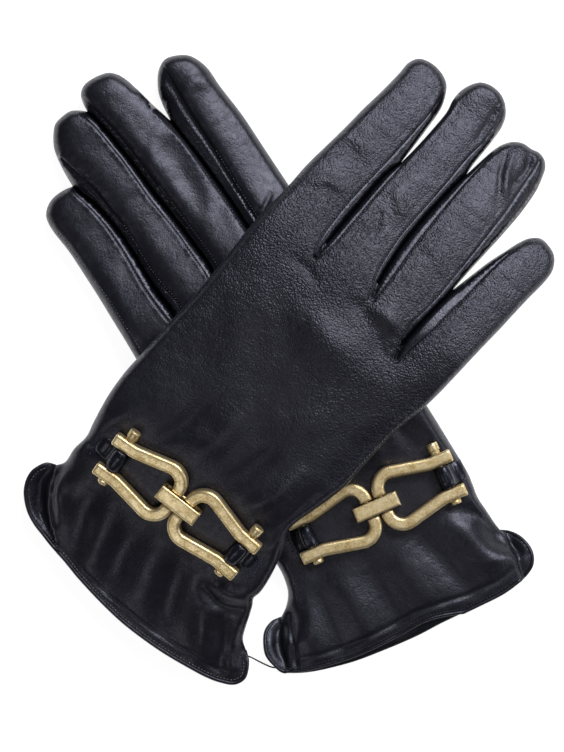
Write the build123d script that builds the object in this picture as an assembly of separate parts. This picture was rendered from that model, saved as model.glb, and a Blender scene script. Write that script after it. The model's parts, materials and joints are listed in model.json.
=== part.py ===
from build123d import *
from math import atan, degrees, radians, tan
import os

# A pair of short leather dress gloves, each with a horse-bit chain across the back of its wrist.
# The left glove lies palm down on a table, and the right glove lies across it, draped over it.
# Millimetres, +Z up. The origin is on the table, under the middle of the ground that the pair covers.
#
# Each glove is drawn in its own frame first: u across the hand (the index finger's side is -u),
# v along the hand (fingertips +v), z up. The left glove is then mirrored, and each is turned about Z
# through the place where the two palms cross. The last step centres the pair on its footprint.

# ---------------------------------------------------------------- leather and lining
LEATHER = 1.0  # glove leather, back, palm, fourchettes and thumb
LINING = 0.8  # knitted lining
GLOVE_DEPTH = 10.5  # outside of the back to outside of the palm, lying flat
SHELL = LEATHER + LINING
FINGER_ROOT_OVERLAP = 6.0  # how far a finger's outline runs back into the hand's
QUIRK_RADIUS = 3.6  # the diamond gusset at each fork
BINDING = 1.6  # width of the rolled edge round the cuff's mouth
MOUTH_RUN_OUT = 30.0  # the hollow is cut this far past the hem
HALF_WIDTH = 90.0  # half of every slab, wider than any glove
REACH = 170.0  # how far a cutting shape runs past the hem
HEM_CUT_TOP = -70.0  # the hem's cutting shape starts here, above the hem at both sides
PRISM_SPAN = (-20.0, 80.0)  # heights that hold the whole pair

# ---------------------------------------------------------------- thumb
THUMB_DEPTH = 5.5  # the thumb lies flattened under the palm
THUMB_HOLE = ((-21.0, 0.5), 7.5)  # centre and radius of the hole where it joins the palm

# ---------------------------------------------------------------- wrist elastic, under the lining
ELASTIC_LENGTH = 54.0
ELASTIC_WIDTH = 6.0
ELASTIC_THICKNESS = 0.5
ELASTIC_V = -66.0

# ---------------------------------------------------------------- horse-bit chain
ROD_WIDTH = 5.0  # a stirrup's leg, seen from above
ROD_HEIGHT = 4.6
ROD_EDGE = 1.1  # softened edges of the cast legs
LEG_END_EDGE = 0.7  # softened cut ends of the legs
BAR_RADIUS = 1.6  # the round bar that runs through the link
BAR_OFFSET = 2.9  # each bar's distance from the middle of the chain
PIN_FROM_BAR = 25.9  # bar axis to pin axis
LEG_END = 31.4  # bar axis to the cut end of the legs
LEG_HALF_GAP = 7.1  # centre line of a leg at the pin, from the chain's middle line
BOW_CORNER = 12.0  # where the leg's straight runs would meet at the bow
BOW_RADIUS = 6.0
LEG_BEND_AT = 22.0
LEG_BEND_RADIUS = 10.0
LEG_START = 3.4  # the wide leg starts just clear of the link
AXIS_HEIGHT = 4.0  # pin and bar axes above the leather
BAR_INSET = 0.5  # how far each end of the bar runs into its leg
PIN_RADIUS = 1.3
NECK_RADIUS = 1.9
NECK_LENGTH = 1.4
HEAD_RADIUS = 2.3
HEAD_LENGTH = 3.1
RIVET_RADIUS = 2.1
RIVET_LENGTH = 1.6
HEAD_EDGE = 0.4
RUNNING_GAP = 0.05  # radial, tab loop on pin
LINK_LENGTH = 18.2
LINK_WIDTH = 5.7
LINK_HEIGHT = 6.0
LINK_WALL = 1.2
LINK_SLOT_HEIGHT = 2 * BAR_RADIUS + 0.6  # the bars have a little play
LINK_EDGE = 0.5

# ---------------------------------------------------------------- leather tabs that hold the pins
TAB_WIDTH = 8.4
TAB_FOOT_WIDTH = 12.0
TAB_FOOT_START = 6.6
TAB_FOOT_THICKNESS = 1.9
TAB_LOOP_RADIUS = 2.5

# ---------------------------------------------------------------- the two gloves
# roots: where a finger's two sides leave the hand, the index finger's side first.
# sides: from the finger roots down to the hem. rest: the underside's (v, z) from hem to fingertips.
RIGHT = {
    "name": "right",
    "mirrored": False,
    "turn": -38.0,
    "fingers": {
        "index": {"roots": ((-44.5, 48.0), (-19.6, 44.0)), "tip": (-26.3, 119.5), "tip_radius": 11.2},
        "middle": {"roots": ((-16.8, 44.0), (5.6, 43.5)), "tip": (-2.8, 127.0), "tip_radius": 10.9},
        "ring": {"roots": ((9.2, 43.5), (28.4, 33.0)), "tip": (22.3, 117.5), "tip_radius": 11.2},
        "little": {"roots": ((31.8, 33.0), (50.8, 31.0)), "tip": (48.8, 94.3), "tip_radius": 8.6},
    },
    "index_side": ((-44.5, 48.0), (-46.0, 15.0), (-48.0, -35.0), (-45.5, -66.0), (-52.0, -92.0)),
    "little_side": ((59.0, -100.0), (45.5, -76.0), (43.2, -52.0), (44.0, -8.0), (50.8, 31.0)),
    "hem_low": (6.0, -112.0),
    "facing": ((-75.0, -74.0), (-40.0, -88.0), (8.0, -98.0), (45.0, -94.0), (80.0, -84.0)),
    "rest": ((-160.0, 1.2), (-102.0, 1.2), (-42.0, 21.9), (46.0, 21.9), (128.0, 1.2), (170.0, 1.2)),
    "thumb_base": 16.4,
    "chain_centre": (-1.0, -61.1),
    "chain_turn": 0.0,
    "stirrup_sag": 3.5,
    "tab_ends": (13.0, 12.0),
}
LEFT = {
    "name": "left",
    "mirrored": True,
    "turn": 30.0,
    "fingers": {
        "index": {"roots": ((-42.5, 46.0), (-19.4, 42.0)), "tip": (-23.7, 117.5), "tip_radius": 11.2},
        "middle": {"roots": ((-16.6, 42.0), (2.4, 41.5)), "tip": (3.0, 125.5), "tip_radius": 10.2},
        "ring": {"roots": ((5.0, 41.5), (24.4, 36.0)), "tip": (24.6, 118.3), "tip_radius": 10.4},
        "little": {"roots": ((27.6, 36.0), (46.0, 34.0)), "tip": (41.6, 95.7), "tip_radius": 8.4},
    },
    "index_side": ((-42.5, 46.0), (-44.0, 10.0), (-42.5, -38.0), (-43.0, -80.0), (-48.0, -106.0)),
    "little_side": ((57.5, -96.0), (40.0, -75.0), (38.5, -56.0), (45.0, -20.0), (46.0, 34.0)),
    "hem_low": (-10.0, -114.0),
    "facing": ((-75.0, -88.0), (-30.0, -100.0), (8.0, -99.0), (40.0, -93.0), (80.0, -80.0)),
    "rest": ((-160.0, 0.0), (-50.0, 0.0), (-22.0, 5.5), (45.0, 5.5), (72.0, 0.0), (170.0, 0.0)),
    "thumb_base": 0.0,
    "chain_centre": (-6.3, -61.7),
    "chain_turn": 6.7,
    "stirrup_sag": 0.0,
    "tab_ends": (7.8, 13.0),
}
THUMB = {"roots": ((-37.0, -5.0), (-14.0, -14.0)), "tip": (2.0, 28.0), "tip_radius": 10.0}
THUMB_ROOT_OVERLAP = 2.0
REST_BEND = 25.0  # radius of the bends in the drape
SIDE_BEND = 14.0  # radius of the bends in the hand's sides
FINGER_ORDER = ("index", "middle", "ring", "little")

# ---------------------------------------------------------------- the thread between the two cuffs
THREAD_RADIUS = 0.3
# From inside the lower cuff's hem, past its corner and on under the upper cuff.
THREAD_POINTS = (
    (1.6, -112.3, 0.9),
    (-2.2, -113.6, 0.7),
    (-7.6, -111.3, 0.6),
    (-13.6, -108.0, 0.6),
    (-20.5, -107.0, 0.6),
    (-27.0, -103.6, 0.7),
    (-33.5, -102.6, 0.6),
)


# ================================================================ outlines seen from above
def finger_face(finger, overlap):
    """A finger from above: two straight sides and a round tip."""
    root_a, root_b = (Vector(*point) for point in finger["roots"])
    tip = Vector(*finger["tip"])
    radius = finger["tip_radius"]
    along = (tip - (root_a + root_b) / 2).normalized()
    across = Vector(along.Y, -along.X)
    root_a = root_a - along * overlap
    root_b = root_b - along * overlap
    corners = [root_b, tip + across * radius, tip - across * radius, root_a]
    sides = Polygon(*[(c.X, c.Y) for c in corners], align=None)
    return sides + Pos(tip.X, tip.Y) * Circle(radius)


def fork_points(glove):
    """The middle of each of the three forks between the fingers."""
    forks = []
    for one, other in zip(FINGER_ORDER, FINGER_ORDER[1:]):
        a = Vector(*glove["fingers"][one]["roots"][1])
        b = Vector(*glove["fingers"][other]["roots"][0])
        forks.append((a + b) / 2)
    return forks


def hand_face(glove, drop=0.0):
    """The hand and cuff from above, with the hem moved down by drop."""
    side_a = list(glove["index_side"])
    side_b = list(glove["little_side"])
    low = glove["hem_low"]
    hem_a = (side_a[-1][0], side_a[-1][1] - drop)
    hem_b = (side_b[0][0], side_b[0][1] - drop)
    down = FilletPolyline(*side_a[:4], radius=SIDE_BEND)
    up = FilletPolyline(*side_b[-4:], radius=SIDE_BEND)
    corners_a = [side_a[3], side_a[4]]
    corners_b = [side_b[0], side_b[1]]
    if drop:
        corners_a.append(hem_a)
        corners_b.insert(0, hem_b)
    forks = []
    for one, other in reversed(list(zip(FINGER_ORDER, FINGER_ORDER[1:]))):
        forks += [glove["fingers"][other]["roots"][0], glove["fingers"][one]["roots"][1]]
    edges = [
        down,
        Polyline(*corners_a),
        ThreePointArc(hem_a, (low[0], low[1] - drop), hem_b),
        Polyline(*corners_b),
        up,
        Polyline(side_b[-1], *forks, side_a[0]),
    ]
    face = make_face(edges).faces()[0]
    return face if face.normal_at().Z > 0 else -face


def glove_outline(glove, drop=0.0):
    """Hand, cuff and fingers as one flat face."""
    outline = Sketch() + hand_face(glove, drop)
    for name in FINGER_ORDER:
        outline += finger_face(glove["fingers"][name], FINGER_ROOT_OVERLAP)
    return outline.faces().sort_by(SortBy.AREA)[-1]


# ================================================================ slabs seen from the side
def slab(rest, bottom, top):
    """The drape of the glove, between two heights above its underside, across the whole width."""
    low = FilletPolyline(*[(v, z + bottom) for v, z in rest], radius=REST_BEND)
    high = FilletPolyline(*[(v, z + top) for v, z in rest], radius=REST_BEND)
    ends = [
        Line((rest[0][0], rest[0][1] + bottom), (rest[0][0], rest[0][1] + top)),
        Line((rest[-1][0], rest[-1][1] + bottom), (rest[-1][0], rest[-1][1] + top)),
    ]
    profile = make_face([low, high, *ends]).faces()[0]
    upright = Plane(origin=(-HALF_WIDTH, 0, 0), x_dir=(0, 1, 0), z_dir=(1, 0, 0))
    return extrude(upright * profile, amount=2 * HALF_WIDTH, dir=(1, 0, 0))


def prism(face, low=PRISM_SPAN[0], high=PRISM_SPAN[1]):
    """A face from above, drawn out between two heights."""
    return extrude(Pos(0, 0, low) * face, amount=high - low, dir=(0, 0, 1))


def solids_by_size(shape, count):
    """The largest solids of a cut, so that no crumbs are kept."""
    return shape.solids().sort_by(SortBy.VOLUME)[-count:]


# ================================================================ sewn pieces of one glove
def finger_zone(glove, one, other):
    """The ground between the middle lines of two neighbouring fingers."""
    corners = []
    for name in (one, other):
        finger = glove["fingers"][name]
        root = (Vector(*finger["roots"][0]) + Vector(*finger["roots"][1])) / 2
        tip = Vector(*finger["tip"])
        along = (tip - root).normalized()
        corners.append((tip, root - along * FINGER_ROOT_OVERLAP))
    (tip_a, root_a), (tip_b, root_b) = corners
    return Polygon(*[(p.X, p.Y) for p in (tip_a, root_a, root_b, tip_b)], align=None)


def below_hem_line(glove):
    """The ground outside the circle of the hem, drawn in by the width of the binding."""
    low = glove["hem_low"]
    hem = ThreePointArc(glove["index_side"][-1], low, glove["little_side"][0])
    centre = hem.arc_center
    inside = Pos(centre.X, centre.Y) * Circle(hem.radius - BINDING)
    ground = Rectangle(2 * HALF_WIDTH, REACH, align=(Align.CENTER, Align.MAX))
    return Pos(0, HEM_CUT_TOP) * ground - inside


def below_facing_line(glove):
    first, last = glove["facing"][0], glove["facing"][-1]
    corners = [*glove["facing"], (last[0], -REACH), (first[0], -REACH)]
    return Polygon(*corners, align=None)


def fourchettes(glove, walls, forks):
    """The side walls between the fingers, and the three gussets that close them at the forks."""
    pieces = {}
    gussets = []
    for fork, one, other in zip(forks, FINGER_ORDER, FINGER_ORDER[1:]):
        fork_ground = prism(Pos(fork.X, fork.Y) * Circle(QUIRK_RADIUS))
        strips = (walls & prism(finger_zone(glove, one, other))) - fork_ground
        near, far = sorted(solids_by_size(strips, 2), key=lambda s: s.center().X)
        pieces[f"{one}_fourchette_to_{other}"] = near
        pieces[f"{other}_fourchette_to_{one}"] = far
        gussets += solids_by_size(walls & fork_ground, 1)
    pieces["fork_quirks"] = Compound(children=gussets)
    return pieces


def thumb_piece(glove):
    """The thumb, sewn flat, hollow, with the hole where it joins the palm."""
    base = glove["thumb_base"]
    outline = finger_face(THUMB, THUMB_ROOT_OVERLAP)
    outside = prism(outline, base, base + THUMB_DEPTH)
    inside = prism(offset(outline, amount=-LEATHER), base + LEATHER, base + THUMB_DEPTH - LEATHER)
    return outside - inside - thumb_hole(base + THUMB_DEPTH / 2, base + THUMB_DEPTH)


def thumb_hole(low, high):
    (u, v), radius = THUMB_HOLE
    return prism(Pos(u, v) * Circle(radius), low, high)


def sewn_pieces(glove):
    """Every leather, lining and elastic piece of one glove, in the glove's own frame."""
    rest = glove["rest"]
    outside = slab(rest, 0, GLOVE_DEPTH) & prism(glove_outline(glove))
    long_outline = glove_outline(glove, MOUTH_RUN_OUT)
    inside = {}
    for depth in (LEATHER, SHELL):
        inset = prism(offset(long_outline, amount=-depth).faces()[0])
        inside[depth] = slab(rest, depth, GLOVE_DEPTH - depth) & inset
    leather = outside - inside[LEATHER]
    inner_layer = (outside & inside[LEATHER]) - inside[SHELL]
    palm_hole = thumb_hole(glove["thumb_base"], glove["thumb_base"] + THUMB_DEPTH + 2 * SHELL)
    leather -= palm_hole
    inner_layer -= palm_hole

    hem = prism(below_hem_line(glove))
    binding = (leather & hem) + (inner_layer & hem)
    walls = leather & slab(rest, LEATHER, GLOVE_DEPTH - LEATHER)
    pieces = fourchettes(glove, walls, fork_points(glove))
    trank = leather - hem
    for piece in pieces.values():
        trank -= piece

    facing_ground = prism(below_facing_line(glove))
    centre_u = glove["chain_centre"][0]
    band = Pos(centre_u, ELASTIC_V) * Rectangle(ELASTIC_LENGTH, ELASTIC_WIDTH)
    elastic = slab(rest, LEATHER, LEATHER + ELASTIC_THICKNESS) & prism(band)
    pieces["trank"] = solids_by_size(trank, 1)[0]
    pieces["thumb"] = thumb_piece(glove)
    pieces["lining"] = solids_by_size(inner_layer - facing_ground - elastic, 1)[0]
    pieces["cuff_facing"] = solids_by_size((inner_layer & facing_ground) - hem, 1)[0]
    pieces["cuff_binding"] = solids_by_size(binding, 1)[0]
    pieces["wrist_elastic"] = elastic
    return pieces


# ================================================================ the horse-bit chain
# Each stirrup is drawn with its bar on the y axis and its legs pointing along +x.
def stirrup():
    """A cast stirrup: one round bar, then two softened legs that run out to the pin."""
    leg_path = FilletPolyline(
        (0, LEG_START),
        (0, BOW_CORNER),
        (LEG_BEND_AT, LEG_HALF_GAP),
        (LEG_END, LEG_HALF_GAP),
        radius=[BOW_RADIUS, LEG_BEND_RADIUS],
    )
    section = Plane(origin=(0, LEG_START, 0), x_dir=(1, 0, 0), z_dir=(0, 1, 0))
    leg = sweep(section * RectangleRounded(ROD_WIDTH, ROD_HEIGHT, ROD_EDGE), path=leg_path)
    leg = fillet(leg.faces().sort_by(Axis.X)[-1].edges(), LEG_END_EDGE)
    bar = Rot(90, 0, 0) * Cylinder(BAR_RADIUS, 2 * (LEG_START + BAR_INSET))
    bore = Pos(PIN_FROM_BAR, 0, 0) * Rot(90, 0, 0) * Cylinder(PIN_RADIUS, 4 * LEG_HALF_GAP)
    return leg + mirror(leg, about=Plane.XZ) + bar - bore


def pin():
    """The cross pin: a stepped head outside one leg and a low rivet outside the other."""
    leg_face = LEG_HALF_GAP + ROD_WIDTH / 2
    stack = [
        (RIVET_RADIUS, RIVET_LENGTH),
        (PIN_RADIUS, 2 * leg_face),
        (NECK_RADIUS, NECK_LENGTH),
        (HEAD_RADIUS, HEAD_LENGTH),
    ]
    at = -leg_face - RIVET_LENGTH
    shape = None
    for radius, length in stack:
        step = Pos(PIN_FROM_BAR, at + length / 2, 0) * Rot(90, 0, 0) * Cylinder(radius, length)
        shape = step if shape is None else shape + step
        at += length
    ends = shape.faces().filter_by(Axis.Y).sort_by(Axis.Y)
    return fillet(ends[0].edges() + ends[-1].edges(), HEAD_EDGE)


def link():
    """The flat band round both bars, centred on the chain."""
    block = Box(LINK_LENGTH, LINK_WIDTH, LINK_HEIGHT)
    block = fillet(block.edges().filter_by(Axis.Y), LINK_EDGE)
    slot = Box(LINK_LENGTH - 2 * LINK_WALL, 2 * LINK_WIDTH, LINK_SLOT_HEIGHT)
    return block - slot


def tab(end):
    """A leather tab: a loop round the pin on a strap that ends in a wider stitched foot."""
    start = PIN_FROM_BAR - TAB_LOOP_RADIUS
    foot_start = PIN_FROM_BAR + TAB_FOOT_START
    strap = Pos(start, 0, -AXIS_HEIGHT) * Box(
        TAB_LOOP_RADIUS + TAB_FOOT_START,
        TAB_WIDTH,
        TAB_FOOT_THICKNESS,
        align=(Align.MIN, Align.CENTER, Align.MIN),
    )
    foot = Pos(foot_start, 0, -AXIS_HEIGHT) * Box(
        end - TAB_FOOT_START,
        TAB_FOOT_WIDTH,
        TAB_FOOT_THICKNESS,
        align=(Align.MIN, Align.CENTER, Align.MIN),
    )
    loop = Pos(PIN_FROM_BAR, 0, 0) * Rot(90, 0, 0) * Cylinder(TAB_LOOP_RADIUS, TAB_WIDTH)
    hole = Pos(PIN_FROM_BAR, 0, 0) * Rot(90, 0, 0) * Cylinder(PIN_RADIUS + RUNNING_GAP, 2 * TAB_WIDTH)
    return strap + foot + loop - hole


def back_height(glove, v):
    """Height and slope of the straight run of the back at v."""
    rest = glove["rest"]
    for (v0, z0), (v1, z1) in zip(rest, rest[1:]):
        if v0 <= v <= v1:
            slope = (z1 - z0) / (v1 - v0)
            return z0 + slope * (v - v0) + GLOVE_DEPTH, slope


def chain_pieces(glove):
    """The metal chain and its two tabs, standing on the back of the wrist."""
    u, v = glove["chain_centre"]
    height, slope = back_height(glove, v)
    tilt = degrees(atan(slope))
    seat = Pos(u, v, height) * Rot(tilt, 0, 0) * Pos(0, 0, AXIS_HEIGHT)
    seat = seat * Rot(0, 0, glove["chain_turn"])
    pieces = {"link": seat * link()}
    for side, end in zip(("index", "little"), glove["tab_ends"]):
        for name, shape in (("stirrup", stirrup()), ("pin", pin()), ("tab", tab(end))):
            shape = Pos(BAR_OFFSET, 0, 0) * Rot(0, 0, -glove["stirrup_sag"]) * shape
            if side == "index":
                shape = mirror(shape, about=Plane.YZ)
            pieces[f"{name}_{side}"] = seat * shape
    return pieces


# ================================================================ the pair
def place(glove, shape):
    """From the glove's own frame to the pair's."""
    if glove["mirrored"]:
        shape = mirror(shape, about=Plane.YZ)
    return Rot(0, 0, glove["turn"]) * shape


def bend_radii(points):
    """A radius for each corner of a route, as large as its two runs allow."""
    points = [Vector(*point) for point in points]
    radii = []
    for before, corner, after in zip(points, points[1:], points[2:]):
        run_in, run_out = corner - before, after - corner
        half_turn = radians(run_in.get_angle(run_out)) / 2
        radii.append(0.45 * min(run_in.length, run_out.length) / tan(half_turn))
    return radii


def pair_thread():
    """The tacking thread that joins the two cuffs, running from the lower cuff under the upper one."""
    path = FilletPolyline(*THREAD_POINTS, radius=bend_radii(THREAD_POINTS))
    return sweep(Plane(origin=path @ 0, z_dir=path % 0) * Circle(THREAD_RADIUS), path=path)


def footprint_middle(nodes):
    """The middle of the ground that the two gloves cover."""
    boxes = [shape.bounding_box() for shape in nodes.values()]
    low_x, high_x = min(box.min.X for box in boxes), max(box.max.X for box in boxes)
    low_y, high_y = min(box.min.Y for box in boxes), max(box.max.Y for box in boxes)
    return Vector((low_x + high_x) / 2, (low_y + high_y) / 2, 0)


def build_pair():
    nodes = {}
    for glove in (LEFT, RIGHT):
        for name, shape in {**sewn_pieces(glove), **chain_pieces(glove)}.items():
            nodes[f"{glove['name']}_{name}"] = place(glove, shape)
    middle = footprint_middle(nodes)
    nodes["pair_thread"] = pair_thread()
    return {node: Pos(-middle) * shape for node, shape in nodes.items()}


os.makedirs("parts", exist_ok=True)
for node, shape in build_pair().items():
    export_step(shape, f"parts/{node}.step")
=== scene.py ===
import json
from math import cos, pi, radians, sin, sqrt

import bpy
import numpy as np
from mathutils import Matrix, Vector, geometry, kdtree, noise


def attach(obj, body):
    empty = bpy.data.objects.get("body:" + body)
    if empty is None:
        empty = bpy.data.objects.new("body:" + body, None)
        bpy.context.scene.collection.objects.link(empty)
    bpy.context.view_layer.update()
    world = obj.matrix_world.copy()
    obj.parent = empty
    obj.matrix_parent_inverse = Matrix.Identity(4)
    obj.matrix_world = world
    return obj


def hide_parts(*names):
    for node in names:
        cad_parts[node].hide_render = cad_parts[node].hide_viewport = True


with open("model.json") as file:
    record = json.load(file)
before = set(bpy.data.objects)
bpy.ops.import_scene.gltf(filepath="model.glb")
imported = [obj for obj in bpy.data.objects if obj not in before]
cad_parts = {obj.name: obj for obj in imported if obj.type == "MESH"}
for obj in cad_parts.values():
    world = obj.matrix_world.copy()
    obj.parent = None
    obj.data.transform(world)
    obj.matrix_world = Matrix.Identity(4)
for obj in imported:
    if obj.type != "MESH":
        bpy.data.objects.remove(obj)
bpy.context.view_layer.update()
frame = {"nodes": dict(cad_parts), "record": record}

# Two leather gloves, crossed, backs up. Every drawing is in millimetres in a glove's own frame: u across
# the hand (index finger at -u), v along it (fingertips at +v). The left glove is mirrored on placing.
MM = 0.001
CELL = 0.85  # spacing of the leather's mesh
FINGERS = ("index", "middle", "ring", "little")
CROSSING = (-3.747, -4.841)  # where the two gloves' axes cross, from the origin

# --------------------------------------------------------------- leather thickness and the puff of the gloves
BODY_HEIGHT = 9.2  # back above palm at the seams
MID_HEIGHT = 4.2  # height of the folded edges
CROWN = 2.0  # how much further the back swells between its seams
CROWN_REACH = 7.0  # how far from a seam or the outline the swell takes to rise
FINGER_CREASE = {"right": 0.16, "left": 0.07}  # small folds across the fingers
# extra height of the back's middle, its u and its half-width
ARCH = {"right": (0.8, 2.0, 52.0), "left": (2.6, 9.0, 48.0)}
FOLD_RADIUS = 3.0  # rounding of the folded edges
SIDE_PUFF = {"right": 0.0, "left": 0.75}  # the side strips bulge along their middles
PALM_RADIUS = 4.0  # rounding of the palm's edges
VALLEY_HEIGHT = 4.6  # bottom of the gaps between the fingers
LOWEST_BACK = 1.2  # the back is never lower than this above the palm's resting height
THINNEST = 0.4  # back above palm, at least
PALM_GAP_LIFT = 2.0  # the palm rises under the gaps between the fingers
LIP = (0.42, 0.95, 0.55)  # the welt beside a finger seam: height, distance, half-width
GROOVE = (0.30, 0.4)  # the seam's own groove: depth, half-width
# noise of the back: size in mm, seed, stretch along u and v, height
WAVES = ((9.0, 3.1, (1.0, 1.0), 0.20), (4.0, 7.7, (1.0, 0.7), 0.05))
FINGER_WAVE = (3.2, 12.3, (2.6, 0.8))
EDGE_ROWS = (0.35, -0.35, 0.9, -0.9, 1.7, -1.7)  # extra rows of points beside the outline
SEAM_ROWS = (0.45, -0.45, 0.95, -0.95, 1.5, -1.5)  # and beside each finger seam
LOBE_REACH = 17.0  # the cuff is thin within this of the two ends of its open edge
LOBE_DEPTH = 9.0  # and within about this of the hem
LOBE_HEIGHT = 2.4  # in place of MID_HEIGHT there

# ---------------------------------------------------------------- trim: stitches, straps, thumbs and thread
QUIRK_LENGTH = 6.5  # from the fork to the end of its gusset
SEAM_STITCH_REACH = 46.0  # how far past the fork a finger seam's stitches show
RIM_RADIUS = 0.8  # rolled edge of the cuff
# pitch, length and radius of each row's stitches
HEM_STITCH = (1.35, 0.95, 0.15)
FINGER_STITCH = (1.25, 0.8, 0.12)
SIDE_STITCH = (1.4, 0.85, 0.12)
TAB_STITCH = (1.5, 1.1, 0.26)
LINING_END = -30.0  # the lining isn't modelled further in than this
STRAP_RADIUS = 2.45
STRAP_HALF_WIDTH = 4.1
STRAP_THICKNESS = 0.8
STRAP_REACH = {"right": {"index": 8.6, "little": 7.6}, "left": {"index": 6.4, "little": 5.0}}
PEBBLE_SCALE = 1550.0  # cells of grain to a metre
BRASS_ROUNDING = 0.0016  # the bars' edges are shaded as if rounded this much, in metres
# the line between facing and lining inside each cuff
FACING = {
    "right": ((-75.0, -74.0), (-40.0, -88.0), (8.0, -98.0), (45.0, -94.0), (80.0, -84.0)),
    "left": ((-75.0, -88.0), (-30.0, -100.0), (8.0, -99.0), (40.0, -93.0), (80.0, -80.0)),
}
SIDE_SEAM = {
    "right": [(55.6, 96.5), (54.2, 75.0), (52.6, 57.0), (50.7, 38.0), (48.6, 22.0), (46.5, 12.0), (45.0, 0.0),
              (43.8, -16.0), (42.6, -32.0)],
    "left": [(47.6, 92.0), (46.3, 84.0), (44.8, 72.0), (43.2, 62.0), (42.4, 48.0), (42.0, 36.0)],
}
HEM_THREAD = {"right": "pale_thread", "left": "dim_thread"}
THUMB_CELL = 1.6
THUMB_BASE = {"right": 16.4, "left": 0.0}
THUMB = [(-37.5, -4.0), (-33.0, 4.0), (-24.0, 17.0), (-14.0, 28.5), (-6.0, 35.6), (1.0, 38.2), (8.0, 36.4),
         (11.8, 30.0), (10.8, 22.5), (5.0, 14.0), (-4.0, 1.0), (-12.0, -12.5), (-25.0, -12.0), (-37.5, -4.0)]
# in metres, in the pair's frame
THREAD_ROUTE = [
    (-0.002147, -0.117141, 0.0009),
    (-0.005947, -0.118441, 0.0007),
    (-0.011347, -0.116141, 0.0006),
    (-0.017347, -0.112841, 0.0006),
    (-0.024247, -0.111841, 0.0006),
    (-0.030747, -0.108441, 0.0007),
    (-0.037247, -0.107441, 0.0006),
]
THREAD_DIAMETER = 0.0006

# ---------------------------------------------------------------- camera, floor and lights
PHOTO_SIZE = (564, 752)
PHOTO_SCALE = 2.6  # picture elements to a millimetre
CAMERA_HEIGHT = 1.6
FOCUS_HEIGHT = 0.012
FLOOR_GLOW = 0.92
WORLD_STRENGTH = 0.09
FLOOR_HALF = 3.0
FLOOR_LEVEL = -0.0006
WORLD_COLOR = (0.92, 0.93, 1.0, 1)
# name, place in metres, width and height, watts, colour; each faces the origin
LIGHTS = (
    ("far_softbox", (0.42, 0.72, 0.92), (0.85, 0.55), 14.0, (0.95, 0.95, 1.0)),
    ("right_softbox", (0.95, -0.10, 0.60), (0.5, 0.5), 2.0, (1.0, 1.0, 1.0)),
    ("near_softbox", (-0.50, -0.62, 0.86), (0.5, 0.35), 1.0, (1.0, 0.98, 0.97)),
    ("low_softbox", (0.085, -0.11, 0.95), (0.24, 0.18), 0.28, (1.0, 0.98, 0.95)),
)

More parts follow.
